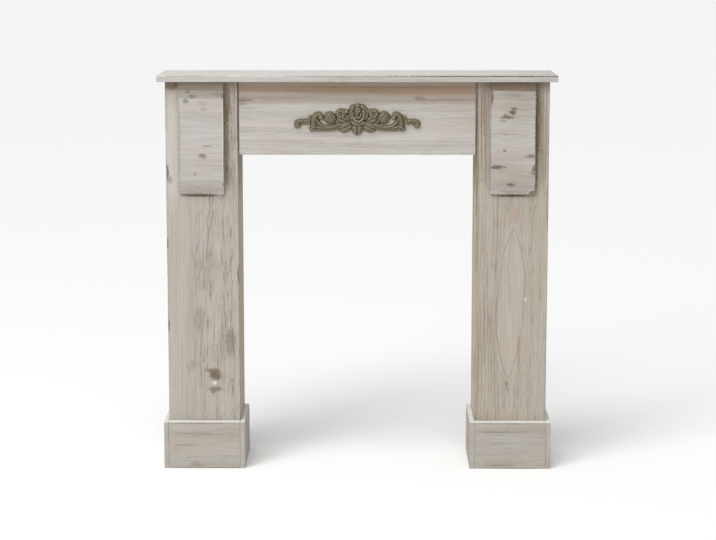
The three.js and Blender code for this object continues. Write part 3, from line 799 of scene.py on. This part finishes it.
# How far each place stands above its neighbours, for the rubbed highlights and the dark hollows
rubbed = bm.verts.layers.float.new("rubbed")
bm.normal_update()
for vert in bm.verts:
    ring = [edge.other_vert(vert) for edge in vert.link_edges]
    wide_ring = list(dict.fromkeys(edge.other_vert(v) for v in ring for edge in v.link_edges))
    middle = sum((v.co for v in wide_ring), Vector()) / len(wide_ring)
    vert[rubbed] = (vert.co - middle).dot(vert.normal) / VOXEL
EVENING_ROUNDS = 3
for _ in range(EVENING_ROUNDS):
    smooth = {
        v: sum((edge.other_vert(v)[rubbed] for edge in v.link_edges), v[rubbed]) / (len(v.link_edges) + 1)
        for v in bm.verts}
    for vert, value in smooth.items():
        vert[rubbed] = value
bmesh.ops.rotate(bm, matrix=Matrix.Rotation(math.pi / 2, 3, "X"), verts=bm.verts)
ORNAMENT_DROP = 2.5 * MM
frieze_low, frieze_high = (Vector(corner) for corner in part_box("frieze_board"))
ornament_z = (frieze_low.z + frieze_high.z) / 2 - ORNAMENT_DROP
bmesh.ops.translate(bm, vec=(0, ornament_back_y, ornament_z), verts=bm.verts)
ornament = finish_mesh(bm, "rose_swag_casting")
for polygon in ornament.data.polygons:
    polygon.use_smooth = True

# Bronze paint over resin: dull olive on the whole, near black in the hollows and pale where a
# cloth has rubbed the high places
resin = bpy.data.materials.new("Cast resin, brushed dull olive bronze and rubbed")
resin.use_nodes = True
tree = resin.node_tree
tree.nodes.clear()
place = add(tree, "TexCoord").outputs["Object"]
stands = add(tree, "Attribute", attribute_name="rubbed").outputs["Fac"]
grime = add(tree, "TexNoise", {"Vector": place, "Scale": 160.0, "Detail": 5.0, "Roughness": 0.6})
ground = add(tree, "Math", {0: grime, 1: 0.5, 2: 0.22}, operation="MULTIPLY_ADD")
spread = add(tree, "Math", {0: stands, 1: 2.3, 2: ground}, operation="MULTIPLY_ADD")
colour = add(tree, "ValToRGB", {0: spread}, stops=(
    (0.10, linear("#3a3324")), (0.38, linear("#574e3b")), (0.62, linear("#6f654e")),
    (0.98, linear("#958b74"))))
grain = add(tree, "TexNoise", {"Vector": place, "Scale": 900.0, "Detail": 3.0})
bump = add(tree, "Bump", {"Height": grain, "Distance": 0.0002, "Strength": 0.5})
shader = add(tree, "BsdfPrincipled", {"Base Color": colour, "Normal": bump, "Roughness": 0.55,
                                      "Metallic": 0.15})
add(tree, "OutputMaterial", {"Surface": shader})
ornament.data.materials.append(resin)
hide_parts("rose_swag")

# Studio: a pale floor that runs out of sight, one broad soft light high on the front left, and an
# even sky
FLOOR_REACH = 60
bm = bmesh.new()
bmesh.ops.create_grid(bm, x_segments=1, y_segments=1, size=FLOOR_REACH)
floor_mesh = bpy.data.meshes.new("studio_floor")
bm.to_mesh(floor_mesh)
bm.free()
floor = bpy.data.objects.new("studio_floor", floor_mesh)
bpy.context.scene.collection.objects.link(floor)
paper = bpy.data.materials.new("Matt white background paper")
paper.use_nodes = True
paper.node_tree.nodes["Principled BSDF"].inputs["Base Color"].default_value = linear("#fcfcfb")
paper.node_tree.nodes["Principled BSDF"].inputs["Roughness"].default_value = 0.95
floor_mesh.materials.append(paper)

sun = bpy.data.lights.new("high soft light", "SUN")
sun.energy = 1.71
sun.angle = math.radians(46)
sun_lamp = bpy.data.objects.new("high soft light", sun)
sun_lamp.rotation_euler = (math.radians(32), 0, math.radians(-26))
bpy.context.scene.collection.objects.link(sun_lamp)

SOFTBOX_PLACE = Vector((-2.6, -3.0, 2.6))
softbox = bpy.data.lights.new("softbox at the left", "AREA")
softbox.energy = 45
softbox.size = 1.6
softbox_lamp = bpy.data.objects.new("softbox at the left", softbox)
softbox_lamp.location = SOFTBOX_PLACE
softbox_lamp.rotation_euler = (Vector((0, 0, 0.6)) - SOFTBOX_PLACE).to_track_quat("-Z", "Y").to_euler()
bpy.context.scene.collection.objects.link(softbox_lamp)

world = bpy.data.worlds.new("even sky")
world.use_nodes = True
world.node_tree.nodes["Background"].inputs["Color"].default_value = (0.98, 0.99, 1, 1)
world.node_tree.nodes["Background"].inputs["Strength"].default_value = 0.5
bpy.context.scene.world = world
bpy.context.scene.view_settings.view_transform = "Standard"

# Camera: where the photograph was taken from, 4.6 m in front of the shelf
FRAME_WIDTH = 716
FOCAL_PIXELS = 1852
CAMERA_DISTANCE = 4.6
CAMERA_HEIGHT = 1.35
CAMERA_SIDE = 0.035
TILT_DOWN = 8.04
TURN_LEFT = 0.41
camera_data = bpy.data.cameras.new("camera")
camera_data.sensor_width = 36
camera_data.lens = FOCAL_PIXELS / FRAME_WIDTH * camera_data.sensor_width
camera_data.shift_y = -0.1
camera_data.clip_end = 200
camera = bpy.data.objects.new("camera", camera_data)
camera.location = (CAMERA_SIDE, cad_box[0][1] - CAMERA_DISTANCE, CAMERA_HEIGHT)
camera.rotation_euler = (math.radians(90 - TILT_DOWN), 0, math.radians(TURN_LEFT))
bpy.context.scene.collection.objects.link(camera)
bpy.context.scene.camera = camera
